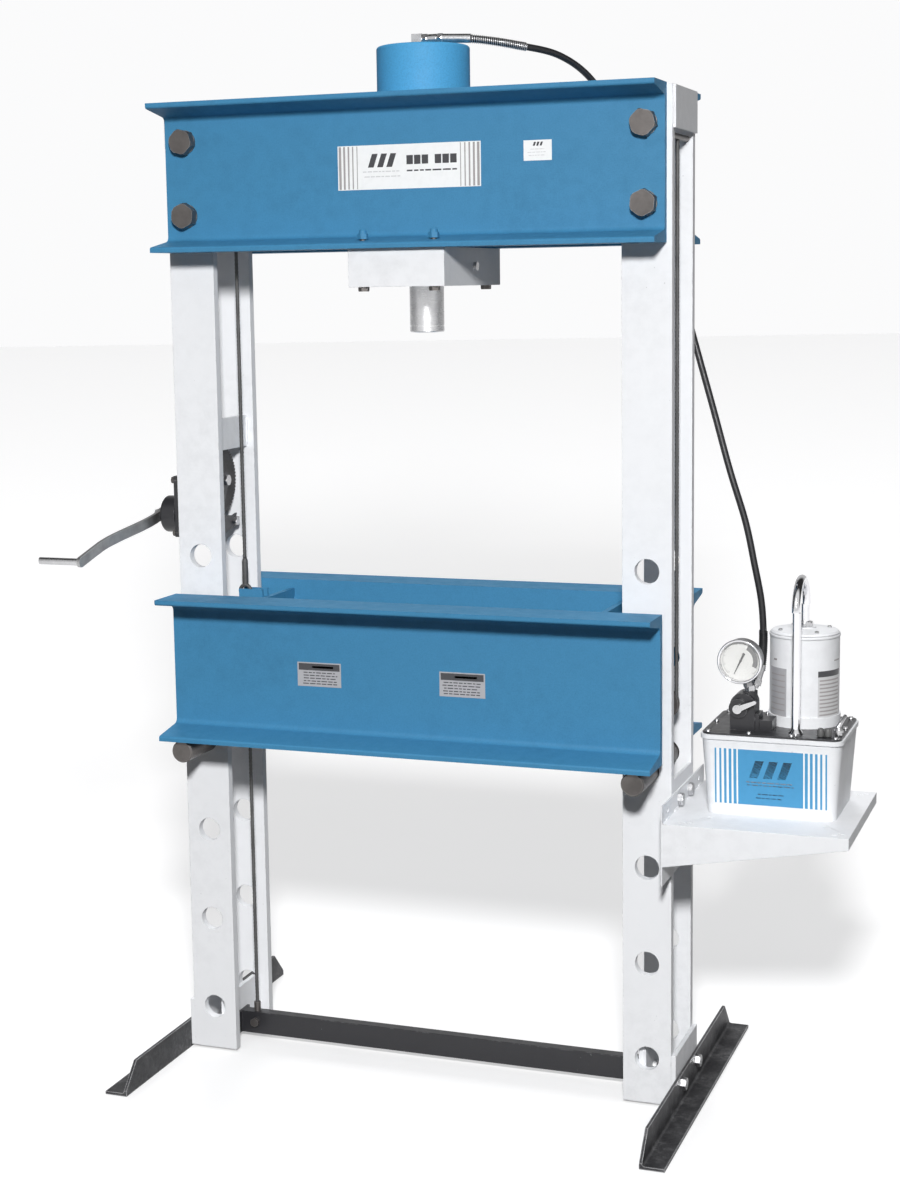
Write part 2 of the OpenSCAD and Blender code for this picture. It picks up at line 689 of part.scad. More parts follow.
module hoist_rope_up() {
  x = -rope_up_x;
  y0 = gear_y + drum_rope_r + 2 * rope_r + 0.3;
  l = sheave_z - gear_z;
  color(steel) {
    translate([x, y0, gear_z]) rotate([atan(y0 / l), 0, 0])
      cylinder(h = sqrt(l * l + y0 * y0) + 2, r = rope_r - rope_lay, $fn = 24);
    translate([-(rope_up_x + rope_x) / 2, 0, sheave_z]) rotate([90, 0, 0])
      rotate_extrude(angle = 180, $fn = fn) translate([(rope_up_x - rope_x) / 2, 0])
        circle(r = rope_r, $fn = 24);
  }
}
module hoist_rope_down() {
  color(steel) cyl_z(rope_r, 1100, sheave_z, -rope_x, 0);
}
module level_rope_left() {
  color(steel) cyl_z(rope_r, 64, 770, -rope_x, 0);
}
module level_rope_right() {
  color(steel) cyl_z(rope_r, 831, level_top - 6, level_x, 0);
}
module rope_anchors() {
  color(steel) {
    cyl_y(8, -yg, yg, -(rope_up_x + rope_x) / 2, sheave_z);
    cyl_y(6, -yg, yg, level_x, level_top);
    cyl_y(6, -20, 16, -rope_x, 40);
    translate([-rope_x, -12.8, 40]) rotate([90, 0, 0]) hex_head(18, 8);
    difference() {
      cyl_z(7.5, 63.9, 84, -rope_x, 0);
      cyl_z(rope_r + 0.05, 63, 85, -rope_x, 0);
    }
    for (s = [-1, 1]) difference() {
      slab(-(rope_up_x + rope_x) / 2 - 14, -(rope_up_x + rope_x) / 2 + 14, s * 14 - 2.5, s * 14 + 2.5,
        sheave_z - 20, sheave_z + 20);
      cyl_y(7.9, -30, 30, -(rope_up_x + rope_x) / 2, sheave_z);
    }
  }
}
module sheave(r, br) {
  rotate([90, 0, 0]) rotate_extrude($fn = fn) difference() {
    translate([br, -8]) square([r + 5 - br, 16]);
    translate([r, 0]) circle(r = groove_r, $fn = 32);
    translate([r, -groove_r]) square([10, 2 * groove_r]);
  }
}
module top_sheave() {
  color(dark) translate([-(rope_up_x + rope_x) / 2, 0, sheave_z]) sheave((rope_up_x - rope_x) / 2, 8.06);
}

// ---- bed
module bed_channel_front() {
  color(blue) translate([0, -bed_y, bed_z]) mirror([0, 1, 0]) channel(beam_l);
}
module bed_channel_rear() {
  color(blue) translate([0, bed_y, bed_z]) channel(beam_l);
}
ls_x = -rope_x + 30;
rs_x = level_x - 30;
ls_z = 770;
rs_z = 830;
eye_z = 1028;
module bed_crossmembers() {
  color(blue) {
    for (s = [-1, 1]) difference() {
      slab(s * 384 - 6, s * 384 + 6, -bed_y, bed_y, bed_z + 20, bed_z + chan_d - 20);
      cyl_x(9, s * 384 - 8, s * 384 + 8, 0, 800);
      if (s < 0) slab(s * 384 - 8, s * 384 + 8, -9, 9, 740, 800);
    }
    for (y = [-13, 13]) {
      slab(-428, -389, y - 2.5, y + 2.5, 752, 788);
      slab(389, 522, y - 2.5, y + 2.5, 812, 848);
      slab(-446, -389, y - 2.5, y + 2.5, 1008, 1034);
    }
    cyl_y(6, -16, 16, ls_x, ls_z);
    cyl_y(6, -16, 16, rs_x, rs_z);
    cyl_y(5, -16, 16, -rope_x, eye_z - 3.4);
  }
}
module bed_guide_pads() {
  color(blue) for (s = [-1, 1]) for (t = [-1, 1]) for (z = [30, chan_d - 90])
    slab(s > 0 ? xi + 14 : -xo + 26, s > 0 ? xo - 26 : -xi - 14,
      t > 0 ? yf + 2 : -bed_y, t > 0 ? bed_y : -yf - 2, bed_z + z, bed_z + z + 60);
}
module rope_eye() {
  color(steel) {
    translate([-rope_x, 0, eye_z]) rotate([90, 0, 0])
      rotate_extrude($fn = fn) translate([12.5, 0]) circle(r = rope_r, $fn = 24);
    cyl_z(6.6, eye_z + 13, 1094, -rope_x, 0);
    translate([-rope_x, 0, 1094]) cylinder(h = 5.5, r1 = 6.6, r2 = 4.3, $fn = 32);
  }
}
module level_rope_bed() {
  color(steel) {
    cyl_x(rope_r, ls_x, rs_x, 0, 800);
    translate([ls_x, 0, ls_z]) rotate([90, 0, 0]) rotate([0, 0, 90])
      rotate_extrude(angle = 90, $fn = fn) translate([30, 0]) circle(r = rope_r, $fn = 24);
    translate([rs_x, 0, rs_z]) rotate([90, 0, 0]) rotate([0, 0, 270])
      rotate_extrude(angle = 90, $fn = fn) translate([30, 0]) circle(r = rope_r, $fn = 24);
  }
}
module bed_sheave_left() { color(dark) translate([ls_x, 0, ls_z]) sheave(30, 6.06); }
module bed_sheave_right() { color(dark) translate([rs_x, 0, rs_z]) sheave(30, 6.06); }
module bed_pin(x) {
  color(dark) translate([x, -pin_l / 2, pin_z]) rotate([-90, 0, 0]) {
    translate([0, 0, 2.5]) cylinder(h = pin_l - 5, r = pin_r, $fn = fn);
    cylinder(h = 2.6, r1 = pin_r - 2.5, r2 = pin_r, $fn = fn);
    translate([0, 0, pin_l - 2.6]) cylinder(h = 2.6, r1 = pin_r, r2 = pin_r - 2.5, $fn = fn);
  }
}
module pin_left() { bed_pin(-xc); }
module pin_right() { bed_pin(xc); }

left_post_front();
left_post_rear();
right_post_front();
right_post_rear();
tie_plates();
head_channel_front();
head_channel_rear();
head_bolts();
head_nuts();
cylinder_barrel();
cylinder_gland();
cylinder_block();
block_bolts();
block_nuts();
return_spring();
foot_left();
foot_right();
stretcher();
frame_bolts();
shelf();
pump_tank();
pump_cover();
cover_screws();
motor_shell();
carry_handle();
handle_nuts();
valve_block();
gauge_case();
gauge_dial();
pressure_hose();
hose_fittings();
winch_base();
winch_housing();
winch_side_plate();
winch_axle();
hoist_rope_up();
hoist_rope_down();
level_rope_left();
level_rope_right();
rope_anchors();
ram_rod();
ram_piston();
bed_channel_front();
bed_channel_rear();
bed_crossmembers();
bed_guide_pads();
rope_eye();
level_rope_bed();
pin_left();
pin_right();
crank_shaft();
crank_arm();
crank_grip();
drum_gear();
rope_coils();
top_sheave();
bed_sheave_left();
bed_sheave_right();
valve_lever();
gauge_needle();
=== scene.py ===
import json
import math
import random

import bmesh
import bpy
from mathutils import Matrix, Vector


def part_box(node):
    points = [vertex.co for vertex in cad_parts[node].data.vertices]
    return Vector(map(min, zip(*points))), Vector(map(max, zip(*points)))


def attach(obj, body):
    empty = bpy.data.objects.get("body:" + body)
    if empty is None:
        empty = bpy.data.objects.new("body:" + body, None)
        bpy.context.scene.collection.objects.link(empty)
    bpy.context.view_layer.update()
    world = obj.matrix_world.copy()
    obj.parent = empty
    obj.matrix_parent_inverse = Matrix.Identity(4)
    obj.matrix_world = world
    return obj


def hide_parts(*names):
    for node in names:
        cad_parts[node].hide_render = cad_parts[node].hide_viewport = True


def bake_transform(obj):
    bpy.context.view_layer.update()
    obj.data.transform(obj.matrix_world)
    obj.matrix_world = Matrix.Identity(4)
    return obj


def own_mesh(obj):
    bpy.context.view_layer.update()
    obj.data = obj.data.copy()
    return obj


# Looks of the hydraulic shop press. Metres, origin on the floor between the uprights,
# +X towards the pump, -Y front, +Z up.

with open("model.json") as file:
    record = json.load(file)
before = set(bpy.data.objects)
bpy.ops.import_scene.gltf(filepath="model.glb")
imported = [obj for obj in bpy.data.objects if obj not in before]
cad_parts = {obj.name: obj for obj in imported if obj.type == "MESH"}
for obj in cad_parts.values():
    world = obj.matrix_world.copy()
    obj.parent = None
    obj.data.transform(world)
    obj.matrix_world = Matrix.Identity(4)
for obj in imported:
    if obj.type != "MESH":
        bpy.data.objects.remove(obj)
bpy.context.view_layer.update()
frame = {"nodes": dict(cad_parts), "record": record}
nodes = frame["nodes"]
MM = 0.001
RIGHT = Vector((1, 0, 0))
FRONT = Vector((0, -1, 0))
UP = Vector((0, 0, 1))


def middle(node):
    """The centre of a CAD node's box."""
    low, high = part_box(node)
    return (low + high) / 2


# ---------------------------------------------------------------- node trees

class Tree:
    """A short way to write a material's node tree."""

    def __init__(self, name):
        self.mat = bpy.data.materials.new(name)
        self.mat.use_nodes = True
        self.tree = self.mat.node_tree
        self.bsdf = self.tree.nodes["Principled BSDF"]
        self.coords = self.add("ShaderNodeTexCoord").outputs["Object"]

    def add(self, kind, **values):
        """A new node with these properties."""
        node = self.tree.nodes.new(kind)
        for key, value in values.items():
            setattr(node, key, value)
        return node

    def put(self, socket, value):
        """Links an output to a socket, or sets its value; a colour of three parts gets alpha 1."""
        if isinstance(value, bpy.types.NodeSocket):
            self.tree.links.new(value, socket)
        elif isinstance(value, (tuple, list)) and len(value) == 3 and len(socket.default_value) == 4:
            socket.default_value = (*value, 1)
        else:
            socket.default_value = value

    def math(self, operation, a, b=0.0, clamp=False):
        """The result of a Math node."""
        node = self.add("ShaderNodeMath", operation=operation, use_clamp=clamp)
        self.put(node.inputs[0], a)
        self.put(node.inputs[1], b)
        return node.outputs[0]

    def mix(self, factor, a, b):
        """Colour a at factor 0, b at 1."""
        node = self.add("ShaderNodeMix", data_type="RGBA", blend_type="MIX")
        self.put(node.inputs[0], factor)
        self.put(node.inputs[6], a)
        self.put(node.inputs[7], b)
        return node.outputs[2]

    def scaled(self, scale):
        """Object coordinates stretched by scale."""
        node = self.add("ShaderNodeMapping")
        self.put(node.inputs["Vector"], self.coords)
        node.inputs["Scale"].default_value = scale
        return node.outputs[0]

    def noise(self, scale, detail=3.0, vector=None, roughness=0.55):
        """Noise in object space; scale in cells to a metre."""
        node = self.add("ShaderNodeTexNoise")
        self.put(node.inputs["Vector"], vector or self.coords)
        node.inputs["Scale"].default_value = scale
        node.inputs["Detail"].default_value = detail
        node.inputs["Roughness"].default_value = roughness
        return node.outputs[0]

    def band(self, value, low, high, out_low=0.0, out_high=1.0):
        """Maps low..high onto out_low..out_high and stops at the ends."""
        node = self.add("ShaderNodeMapRange", clamp=True)
        self.put(node.inputs["Value"], value)
        for i, v in enumerate((low, high, out_low, out_high)):
            node.inputs[i + 1].default_value = v
        return node.outputs[0]

    def edge(self, radius):
        """1 on a convex edge sharper than the radius, 0 on a flat face."""
        bevel = self.add("ShaderNodeBevel", samples=4)
        bevel.inputs["Radius"].default_value = radius
        flat = self.add("ShaderNodeNewGeometry").outputs["Normal"]
        dot = self.add("ShaderNodeVectorMath", operation="DOT_PRODUCT")
        self.put(dot.inputs[0], bevel.outputs[0])
        self.put(dot.inputs[1], flat)
        return self.band(dot.outputs["Value"], 0.995, 0.86)

    def bump(self, height, strength, distance, rounded=0.0):
        """Fine relief; rounded adds soft edges of that radius to the shading."""
        node = self.add("ShaderNodeBump")
        self.put(node.inputs["Height"], height)
        node.inputs["Strength"].default_value = strength
        node.inputs["Distance"].default_value = distance
        if rounded:
            bevel = self.add("ShaderNodeBevel", samples=4)
            bevel.inputs["Radius"].default_value = rounded
            self.put(node.inputs["Normal"], bevel.outputs[0])
        self.put(self.bsdf.inputs["Normal"], node.outputs[0])

    def finish(self, color, roughness, metallic=0.0, **others):
        """Sets the surface and gives the material; others name sockets with _ for a space."""
        self.put(self.bsdf.inputs["Base Color"], color)
        self.put(self.bsdf.inputs["Roughness"], roughness)
        self.put(self.bsdf.inputs["Metallic"], metallic)
        for key, value in others.items():
            self.put(self.bsdf.inputs[key.replace("_", " ")], value)
        return self.mat


def paint(name, color, rough=0.42, grime=0.10, wear=0.5, chip=(0.10, 0.10, 0.11), peel=0.10, coat=0.0,
          freckle=0.0, rounded=0.0):
    """Sprayed enamel: slight orange peel, soft dusty smudges, rubbed and chipped edges."""
    t = Tree(name)
    broad = t.band(t.noise(3.1, 4), 0.35, 0.70)
    fine = t.noise(38, 5, roughness=0.65)
    smudge = t.math("MULTIPLY", broad, t.band(fine, 0.40, 0.72))
    dusty = tuple(c * (1 - grime) * 0.94 for c in color)
    light = tuple(min(1.0, c * (1 + grime * 0.35)) for c in color)
    col = t.mix(t.band(t.noise(1.3, 2), 0.3, 0.7), color, light)
    col = t.mix(t.math("MULTIPLY", smudge, 0.85), col, dusty)
    col = t.mix(t.math("MULTIPLY", t.band(t.noise(330, 2, roughness=0.7), 0.42, 0.66), freckle), col,
                tuple(c * 0.72 for c in color))
    speck = t.band(t.noise(210, 2), 0.735, 0.76)
    speck = t.math("MULTIPLY", speck, t.band(t.noise(9, 3), 0.55, 0.62))
    worn = t.math("MULTIPLY", t.edge(0.0022), t.band(t.noise(46, 5, roughness=0.7), 0.53, 0.60))
    worn = t.math("MAXIMUM", worn, speck)
    worn = t.math("MULTIPLY", worn, wear, clamp=True)
    col = t.mix(worn, col, chip)
    r = t.band(fine, 0.25, 0.75, rough - 0.06, rough + 0.10)
    r = t.math("ADD", r, t.math("MULTIPLY", worn, 0.2))
    relief = t.math("SUBTRACT", t.noise(520, 2), t.math("MULTIPLY", worn, 1.2))
    t.bump(relief, peel, 0.0004, rounded)
    return t.finish(col, r, 0.0, Coat_Weight=coat, Coat_Roughness=0.25, Specular_IOR_Level=0.3)


def steel(name, color, rough=0.32, stretch=(1, 1, 1), stain=0.25, lines=0.12, metallic=1.0):
    """Machined steel: fine turning or grinding lines, oil stains, and lighter edges that are partly rubbing
    wear and partly a painted highlight.
    """
    t = Tree(name)
    grain = t.noise(260, 3, t.scaled(stretch))
    cloud = t.band(t.noise(21, 4, roughness=0.6), 0.38, 0.68)
    dark = tuple(c * (1 - stain) for c in color)
    col = t.mix(t.math("MULTIPLY", cloud, 0.8), color, dark)
    # Lighter edges: partly rubbing wear, partly a painted highlight where the edges catch the light.
    bright = tuple(min(1.0, c * 1.35 + 0.16) for c in color)
    col = t.mix(t.math("MULTIPLY", t.edge(0.0018), 0.75), col, bright)
    r = t.band(grain, 0.3, 0.7, rough - 0.07, rough + 0.11)
    t.bump(grain, lines, 0.0003)
    return t.finish(col, r, metallic)


def scale_iron(name, color):
    """Hot-rolled angle under thin black paint: rough, pitted, with bright edges that are partly rubbed bare
    and partly a painted highlight.
    """
    t = Tree(name)
    pits = t.noise(95, 6, roughness=0.75)
    cloud = t.band(t.noise(12, 5, roughness=0.65), 0.42, 0.66)
    grey = (0.16, 0.16, 0.165)
    col = t.mix(t.math("MULTIPLY", cloud, t.band(pits, 0.42, 0.60)), color, grey)
    # Lighter edges all round, never quite absent: partly rubbed bare metal, partly a painted highlight of
    # lit edges.
    edge_wear_and_highlight = t.math("MULTIPLY", t.edge(0.0035), t.band(t.noise(60, 4), 0.25, 0.50, 0.35, 1.0))
    col = t.mix(edge_wear_and_highlight, col, (0.46, 0.46, 0.47))
    t.bump(pits, 0.45, 0.0009)
    return t.finish(col, t.band(pits, 0.3, 0.7, 0.40, 0.68), 0.35)


def moulded(name, color, rough):
    """Moulded plastic or rubber: fine texture, faint scuffs and dust."""
    t = Tree(name)
    scuff = t.math("MULTIPLY", t.band(t.noise(17, 4), 0.45, 0.70), t.band(t.noise(180, 3), 0.45, 0.75))
    lighter = tuple(min(1.0, c * 1.5 + 0.018) for c in color)
    col = t.mix(t.math("MULTIPLY", scuff, 0.7), color, lighter)
    t.bump(t.noise(700, 2), 0.12, 0.0003)
    return t.finish(col, t.band(t.noise(60, 3), 0.3, 0.7, rough - 0.06, rough + 0.09))


def label_stock(name, color, rough=0.35):
    """Printed vinyl film: satin, with faint wrinkling and handling marks."""
    t = Tree(name)
    marks = t.band(t.noise(70, 4), 0.45, 0.75)
    col = t.mix(t.math("MULTIPLY", marks, 0.35), color, tuple(c * 0.86 for c in color))
    t.bump(t.noise(120, 2), 0.06, 0.0003)
    return t.finish(col, t.band(marks, 0, 1, rough, rough + 0.12))


def clear_glass(name):
    """A nearly invisible pane with a faint veil."""
    t = Tree(name)
    streak = t.band(t.noise(45, 3), 0.4, 0.8, 0.01, 0.06)
    t.bump(t.noise(30, 1), 0.01, 0.0002)
    return t.finish((0.9, 0.9, 0.9), streak, Alpha=0.08)


WHITE = (0.79, 0.80, 0.82)
BLUE = (0.048, 0.215, 0.390)
LIGHT_BLUE = (0.070, 0.330, 0.600)
BLACK = (0.022, 0.022, 0.025)
MATS = {
    "frame_white": paint("frame_white", WHITE, 0.48, grime=0.055, wear=0.5, chip=(0.23, 0.23, 0.24),
                         peel=0.14, rounded=0.0014),
    "beam_blue": paint("beam_blue", BLUE, 0.58, grime=0.10, wear=0.45, chip=(0.03, 0.07, 0.10),
                       peel=0.16, freckle=0.35),
    "cylinder_blue": paint("cylinder_blue", LIGHT_BLUE, 0.62, grime=0.08, wear=0.3, chip=(0.04, 0.12, 0.18),
                           peel=0.3, freckle=0.5),
    "black_paint": paint("black_paint", BLACK, 0.36, grime=0.2, wear=0.8, chip=(0.20, 0.20, 0.21), coat=0.3),
    "mill_scale": scale_iron("mill_scale", (0.028, 0.028, 0.031)),
    "bright_steel": steel("bright_steel", (0.60, 0.60, 0.61), 0.30),
    "ram_steel": steel("ram_steel", (0.64, 0.64, 0.65), 0.30, stretch=(0.2, 0.2, 3), stain=0.08, lines=0.01),
    "dark_steel": steel("dark_steel", (0.125, 0.115, 0.110), 0.42, stain=0.4, metallic=0.7),
    "black_oxide": steel("black_oxide", (0.045, 0.043, 0.042), 0.42, stain=0.4, metallic=0.5),
    "spring_steel": steel("spring_steel", (0.20, 0.20, 0.21), 0.35),
    "wire_rope": steel("wire_rope", (0.11, 0.11, 0.11), 0.62, stain=0.5, metallic=0.5),
    "chrome": steel("chrome", (0.83, 0.83, 0.85), 0.10, stain=0.06, lines=0.015),
    "cast_arm": steel("cast_arm", (0.46, 0.46, 0.46), 0.42, stretch=(3, 0.3, 3), stain=0.35, lines=0.2),
    "hose_rubber": moulded("hose_rubber", (0.012, 0.012, 0.014), 0.42),
    "grip_plastic": moulded("grip_plastic", (0.10, 0.10, 0.10), 0.40),
    "gauge_black": steel("gauge_black", (0.34, 0.34, 0.35), 0.35, stain=0.4),
    "dial_white": label_stock("dial_white", (0.70, 0.70, 0.68)),
    "needle_black": moulded("needle_black", (0.015, 0.015, 0.015), 0.5),
    "label_white": label_stock("label_white", (0.84, 0.85, 0.85)),
    "label_grey": label_stock("label_grey", (0.33, 0.31, 0.31)),
    "label_pale": label_stock("label_pale", (0.58, 0.58, 0.59)),
    "label_dark": label_stock("label_dark", (0.045, 0.045, 0.05)),
    "label_blue": label_stock("label_blue", (0.060, 0.285, 0.520)),
    "label_silver": label_stock("label_silver", (0.40, 0.40, 0.42), 0.3),
    "sector_grey": label_stock("sector_grey", (0.12, 0.12, 0.12)),
    "glass": clear_glass("glass"),
}
# CAD nodes that get a finer look than their slot's.
NODE_LOOK = {"ram_rod": "ram_steel", "crank_arm": "cast_arm", "drum_gear": "black_oxide"}
record_slots = {s["node"]: s["material_slot"] for s in frame["record"]["subparts"]}


# ---------------------------------------------------------------- pieces

def even_normals(obj):
    """Shading that follows the large faces."""
    normals = obj.modifiers.new("normals", "WEIGHTED_NORMAL")
    normals.keep_sharp = True
    normals.weight = 60


def soften(obj, width, harden):
    """Small rounded edges and clean shading, by modifiers only."""
    obj.modifiers.new("weld", "WELD").merge_threshold = 0.00001
    bevel = obj.modifiers.new("bevel", "BEVEL")
    bevel.width = width
    bevel.segments = 2
    bevel.limit_method = "ANGLE"
    bevel.angle_limit = math.radians(35)
    bevel.use_clamp_overlap = True
    bevel.miter_outer = "MITER_ARC"
    bevel.harden_normals = harden
    if not harden:
        even_normals(obj)


def make_object(name, bm, looks, smooth=True):
    """Turns a bmesh into a named object with its looks."""
    bmesh.ops.recalc_face_normals(bm, faces=bm.faces)
    mesh = bpy.data.meshes.new(name)
    bm.to_mesh(mesh)
    bm.free()
    obj = bpy.data.objects.new(name, mesh)
    bpy.context.scene.collection.objects.link(obj)
    for look in looks:
        mesh.materials.append(MATS[look])
    for p in mesh.polygons:
        p.use_smooth = smooth
    return obj


def finish_piece(name, bm, look, body, smooth=True):
    """Turns a bmesh into a named piece that rides on a body; look is one look or a list of them."""
    looks = look if isinstance(look, list) else [look]
    obj = make_object(name, bm, looks, smooth)
    even_normals(obj)
    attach(obj, body)
    return obj


def block(bm, low, high, index=0):
    """Adds a box between two corners."""
    low, high = Vector(low), Vector(high)
    made = bmesh.ops.create_cube(bm, size=1.0)["verts"]
    centre, size = (low + high) / 2, high - low
    for v in made:
        v.co = Vector((v.co.x * size.x, v.co.y * size.y, v.co.z * size.z)) + centre
    for f in {f for v in made for f in v.link_faces}:
        f.material_index = index
    return made


def axis_matrix(origin, axis):
    """Places local +Z along axis at origin."""
    return Matrix.Translation(origin) @ Vector(axis).to_track_quat("Z", "Y").to_matrix().to_4x4()


def lathe(bm, profile, origin, axis, segments):
    """Revolves (radius, height) pairs round an axis. Radius 0 closes the end."""
    place = axis_matrix(origin, axis)
    rings = []
    for r, h in profile:
        if r == 0:
            rings.append([bm.verts.new(place @ Vector((0, 0, h)))])
            continue
        turn = [2 * math.pi * k / segments for k in range(segments)]
        rings.append([bm.verts.new(place @ Vector((r * math.cos(a), r * math.sin(a), h))) for a in turn])
    for a, b in zip(rings, rings[1:]):
        for k in range(segments):
            n = (k + 1) % segments
            if len(a) == 1:
                bm.faces.new((a[0], b[n], b[k]))
            elif len(b) == 1:
                bm.faces.new((a[k], a[n], b[0]))
            else:
                bm.faces.new((a[k], a[n], b[n], b[k]))


def prism(bm, sides, radius, origin, axis, height):
    """A chamfered many-sided head or nut."""
    place = axis_matrix(origin, axis)
    profile = ((0.985, 0), (1, 0.04), (1, 0.86), (0.88, 1))
    angles = [2 * math.pi * k / sides for k in range(sides)]
    rings = []
    for r, h in ((radius * across, height * up) for across, up in profile):
        rings.append([bm.verts.new(place @ Vector((r * math.cos(a), r * math.sin(a), h))) for a in angles])
    bm.faces.new(list(reversed(rings[0])))
    bm.faces.new(rings[-1])
    for a, b in zip(rings, rings[1:]):
        for k in range(sides):
            n = (k + 1) % sides
            bm.faces.new((a[k], a[n], b[n], b[k]))


def frames_along(points):
    """Position, tangent and a steady normal at each point of a path."""
    out = []
    normal = None
    for i, p in enumerate(points):
        d = (points[min(i + 1, len(points) - 1)] - points[max(i - 1, 0)]).normalized()
        if normal is None:
            normal = d.orthogonal().normalized()
        normal = (normal - d * normal.dot(d)).normalized()
        out.append((p, d, normal, d.cross(normal)))
    return out


def tube(bm, points, radius_at, sides, twist=0.0):
    """A closed tube along a path; radius_at(fraction, angle) shapes its section."""
    rings = []
    travelled = 0.0
    for i, (p, _, n, b) in enumerate(frames_along(points)):
        if i:
            travelled += (p - points[i - 1]).length
        turn = travelled * twist
        ring = []
        for k in range(sides):
            a = 2 * math.pi * k / sides
            r = radius_at(i / (len(points) - 1), a)
            ring.append(bm.verts.new(p + (n * math.cos(a + turn) + b * math.sin(a + turn)) * r))
        rings.append(ring)
    bm.faces.new(list(reversed(rings[0])))
    bm.faces.new(rings[-1])
    for lower, upper in zip(rings, rings[1:]):
        for k in range(sides):
            n = (k + 1) % sides
            bm.faces.new((lower[k], lower[n], upper[n], upper[k]))


def spline(points, steps):
    """Catmull-Rom curve through the points."""
    points = [Vector(p) for p in points]
    out = []
    for i in range(len(points) - 1):
        p0, p1 = points[max(i - 1, 0)], points[i]
        p2, p3 = points[i + 1], points[min(i + 2, len(points) - 1)]
        for k in range(steps):
            t = k / steps
            out.append(0.5 * (2 * p1 + (p2 - p0) * t + (2 * p0 - 5 * p1 + 4 * p2 - p3) * t * t
                              + (3 * p1 - p0 - 3 * p2 + p3) * t ** 3))
    return out + [points[-1]]


def helix_round(path, radius, pitch):
    """Points that wind round a path, 12 to a turn."""
    stations = frames_along(path)
    lengths = [0.0]
    for a, b in zip(path, path[1:]):
        lengths.append(lengths[-1] + (b - a).length)
    count = int(lengths[-1] / pitch * 12)
    out = []
    j = 0
    for i in range(count + 1):
        s = lengths[-1] * i / count
        while j < len(lengths) - 2 and lengths[j + 1] < s:
            j += 1
        f = (s - lengths[j]) / max(lengths[j + 1] - lengths[j], 1e-9)
        p = path[j].lerp(path[j + 1], f)
        _, _, n, b = stations[j]
        a = 2 * math.pi * s / pitch
        out.append(p + (n * math.cos(a) + b * math.sin(a)) * radius)
    return out


# ---------------------------------------------------------------- CAD nodes

# Rounding in mm of the nodes with visible edges. The post bars stay as they are: their look rounds them.
EDGE = {
    "tie_plates": 0.8, "head_channel_front": 1.2, "head_channel_rear": 1.2,
    "bed_channel_front": 1.2, "bed_channel_rear": 1.2, "bed_crossmembers": 0.8, "bed_guide_pads": 1.0,
    "cylinder_block": 2.2, "foot_left": 1.0, "foot_right": 1.0, "stretcher": 1.6, "shelf": 0.9,
    "winch_base": 1.4, "winch_side_plate": 0.9, "valve_block": 1.6, "crank_arm": 1.8,
    "head_bolts": 1.3, "head_nuts": 0.6, "block_bolts": 0.4, "block_nuts": 0.4, "frame_bolts": 0.35,
    "pump_cover": 0.7, "handle_nuts": 0.5, "valve_lever": 0.6, "winch_axle": 0.4,
}
PLATES = ("tie_plates", "shelf", "bed_crossmembers", "head_channel_front", "head_channel_rear",
          "bed_channel_front", "bed_channel_rear")
for name, obj in nodes.items():
    look = MATS[NODE_LOOK.get(name, record_slots[name])]
    if obj.data.materials:
        for i in range(len(obj.data.materials)):
            obj.data.materials[i] = look
    else:
        obj.data.materials.append(look)
    if name in EDGE:
        soften(obj, EDGE[name] * MM, harden=name in PLATES)


# ---------------------------------------------------------------- hose

HOSE = [(0.036, 0.004, 2.188), (0.070, 0.006, 2.187), (0.116, 0.014, 2.183), (0.180, 0.056, 2.173),
        (0.250, 0.138, 2.156), (0.300, 0.215, 2.108), (0.352, 0.248, 2.010), (0.412, 0.254, 1.880),
        (0.470, 0.246, 1.710), (0.521, 0.231, 1.544), (0.560, 0.216, 1.420), (0.599, 0.200, 1.294),
        (0.640, 0.165, 1.190), (0.667, 0.128, 1.105), (0.688, 0.092, 1.040), (0.700, 0.056, 0.985),
        (0.706, 0.022, 0.940), (0.706, 0.004, 0.908)]
HOSE_R = 0.007
GUARD_WIRE = 0.0011
GUARD_PITCH = 0.0042


def hose_guard(name, path, look):
    """A close coil of wire round the hose."""
    bm = bmesh.new()
    tube(bm, helix_round(path, HOSE_R + GUARD_WIRE, GUARD_PITCH), lambda f, a: GUARD_WIRE, 6)
    finish_piece(name, bm, look, "frame")


def pressure_hose():
    """The hose's rubber cover in place of the plain CAD hose, and a coil near each end."""
    path = spline(HOSE, 12)
    bm = bmesh.new()
    tube(bm, path, lambda f, a: HOSE_R, 20)
    hose = finish_piece("pressure_hose_cover", bm, "hose_rubber", "frame")
    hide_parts("pressure_hose")
    hose_guard("hose_spring_guard", [p for p in path if p.x < 0.200], "bright_steel")
    hose_guard("hose_lower_guard", [p for p in path if p.z < 0.985], "hose_rubber")


# ---------------------------------------------------------------- ropes and spring

ROPE_R = 0.004
ROPE_LAY = 0.052
ROPE_STEP = 0.004


def rope_section(_, a):
    """Six strands in outline."""
    return ROPE_R * (0.80 + 0.20 * abs(math.cos(3 * a)))


def rope_piece(name, points, replaced, body=None, span=None):
    """A laid wire rope along a path. With span the rope stays in world place and rides on no body; the
    bodies and end points in span are not used.
    """
    path = []
    for a, b in zip(points, points[1:]):
        n = max(1, round((b - a).length / ROPE_STEP))
        path += [a.lerp(b, k / n) for k in range(n)]
    path.append(points[-1])
    bm = bmesh.new()
    tube(bm, path, rope_section, 18, twist=2 * math.pi / ROPE_LAY)
    if span:
        rope = make_object(name, bm, ["wire_rope"])
        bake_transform(rope)
    else:
        rope = finish_piece(name, bm, "wire_rope", body)
    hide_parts(replaced)


def arc(centre, u, v, radius, stop):
    """25 points on an arc in the plane of u and v, from u round by stop degrees."""
    angles = [math.radians(stop * k / 24) for k in range(25)]
    return [centre + (u * math.cos(a) + v * math.sin(a)) * radius for a in angles]


